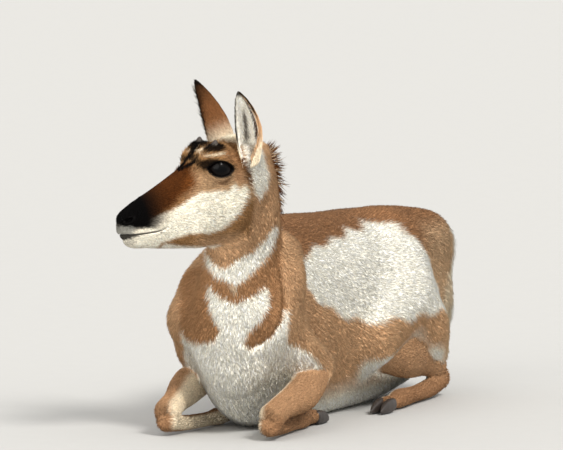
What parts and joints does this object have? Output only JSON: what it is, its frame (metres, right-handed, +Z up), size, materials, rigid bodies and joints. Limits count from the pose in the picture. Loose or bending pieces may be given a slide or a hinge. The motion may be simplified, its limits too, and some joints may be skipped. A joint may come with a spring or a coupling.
{
  "type": "bedded pronghorn doe",
  "caption": "Life-size still model of a pronghorn doe lying on her brisket with folded legs, head raised and turned to her right",
  "frame": {"origin": "on the floor, under the middle of the whole body's bounding box", "axes": "+Z is up, the trunk points along -Y with the rump at +Y, and +X is the animal's left"},
  "size_m": [0.3436, 1.0308, 0.6068],
  "materials": {
    "coat": "short dense hair, tan with white and black markings",
    "hoof": "dull black horn",
    "horn": "dull dark horn",
    "eye": "wet and glossy, almost black"
  },
  "bodies": {
    "root": {"head": "coat", "neck": "coat", "torso": "coat", "tail": "coat", "fore_leg_left": "coat", "fore_leg_right": "coat", "hind_leg_left": "coat", "hind_leg_right": "coat", "hoof_fore_left_inner": "hoof", "hoof_fore_left_outer": "hoof", "hoof_fore_right_inner": "hoof", "hoof_fore_right_outer": "hoof", "hoof_hind_left_inner": "hoof", "hoof_hind_left_outer": "hoof", "hoof_hind_right_inner": "hoof", "hoof_hind_right_outer": "hoof", "ear_left": "coat", "ear_right": "coat", "eye_left": "eye", "eye_right": "eye", "horn_left": "horn", "horn_right": "horn"}
  },
  "joints": []
}
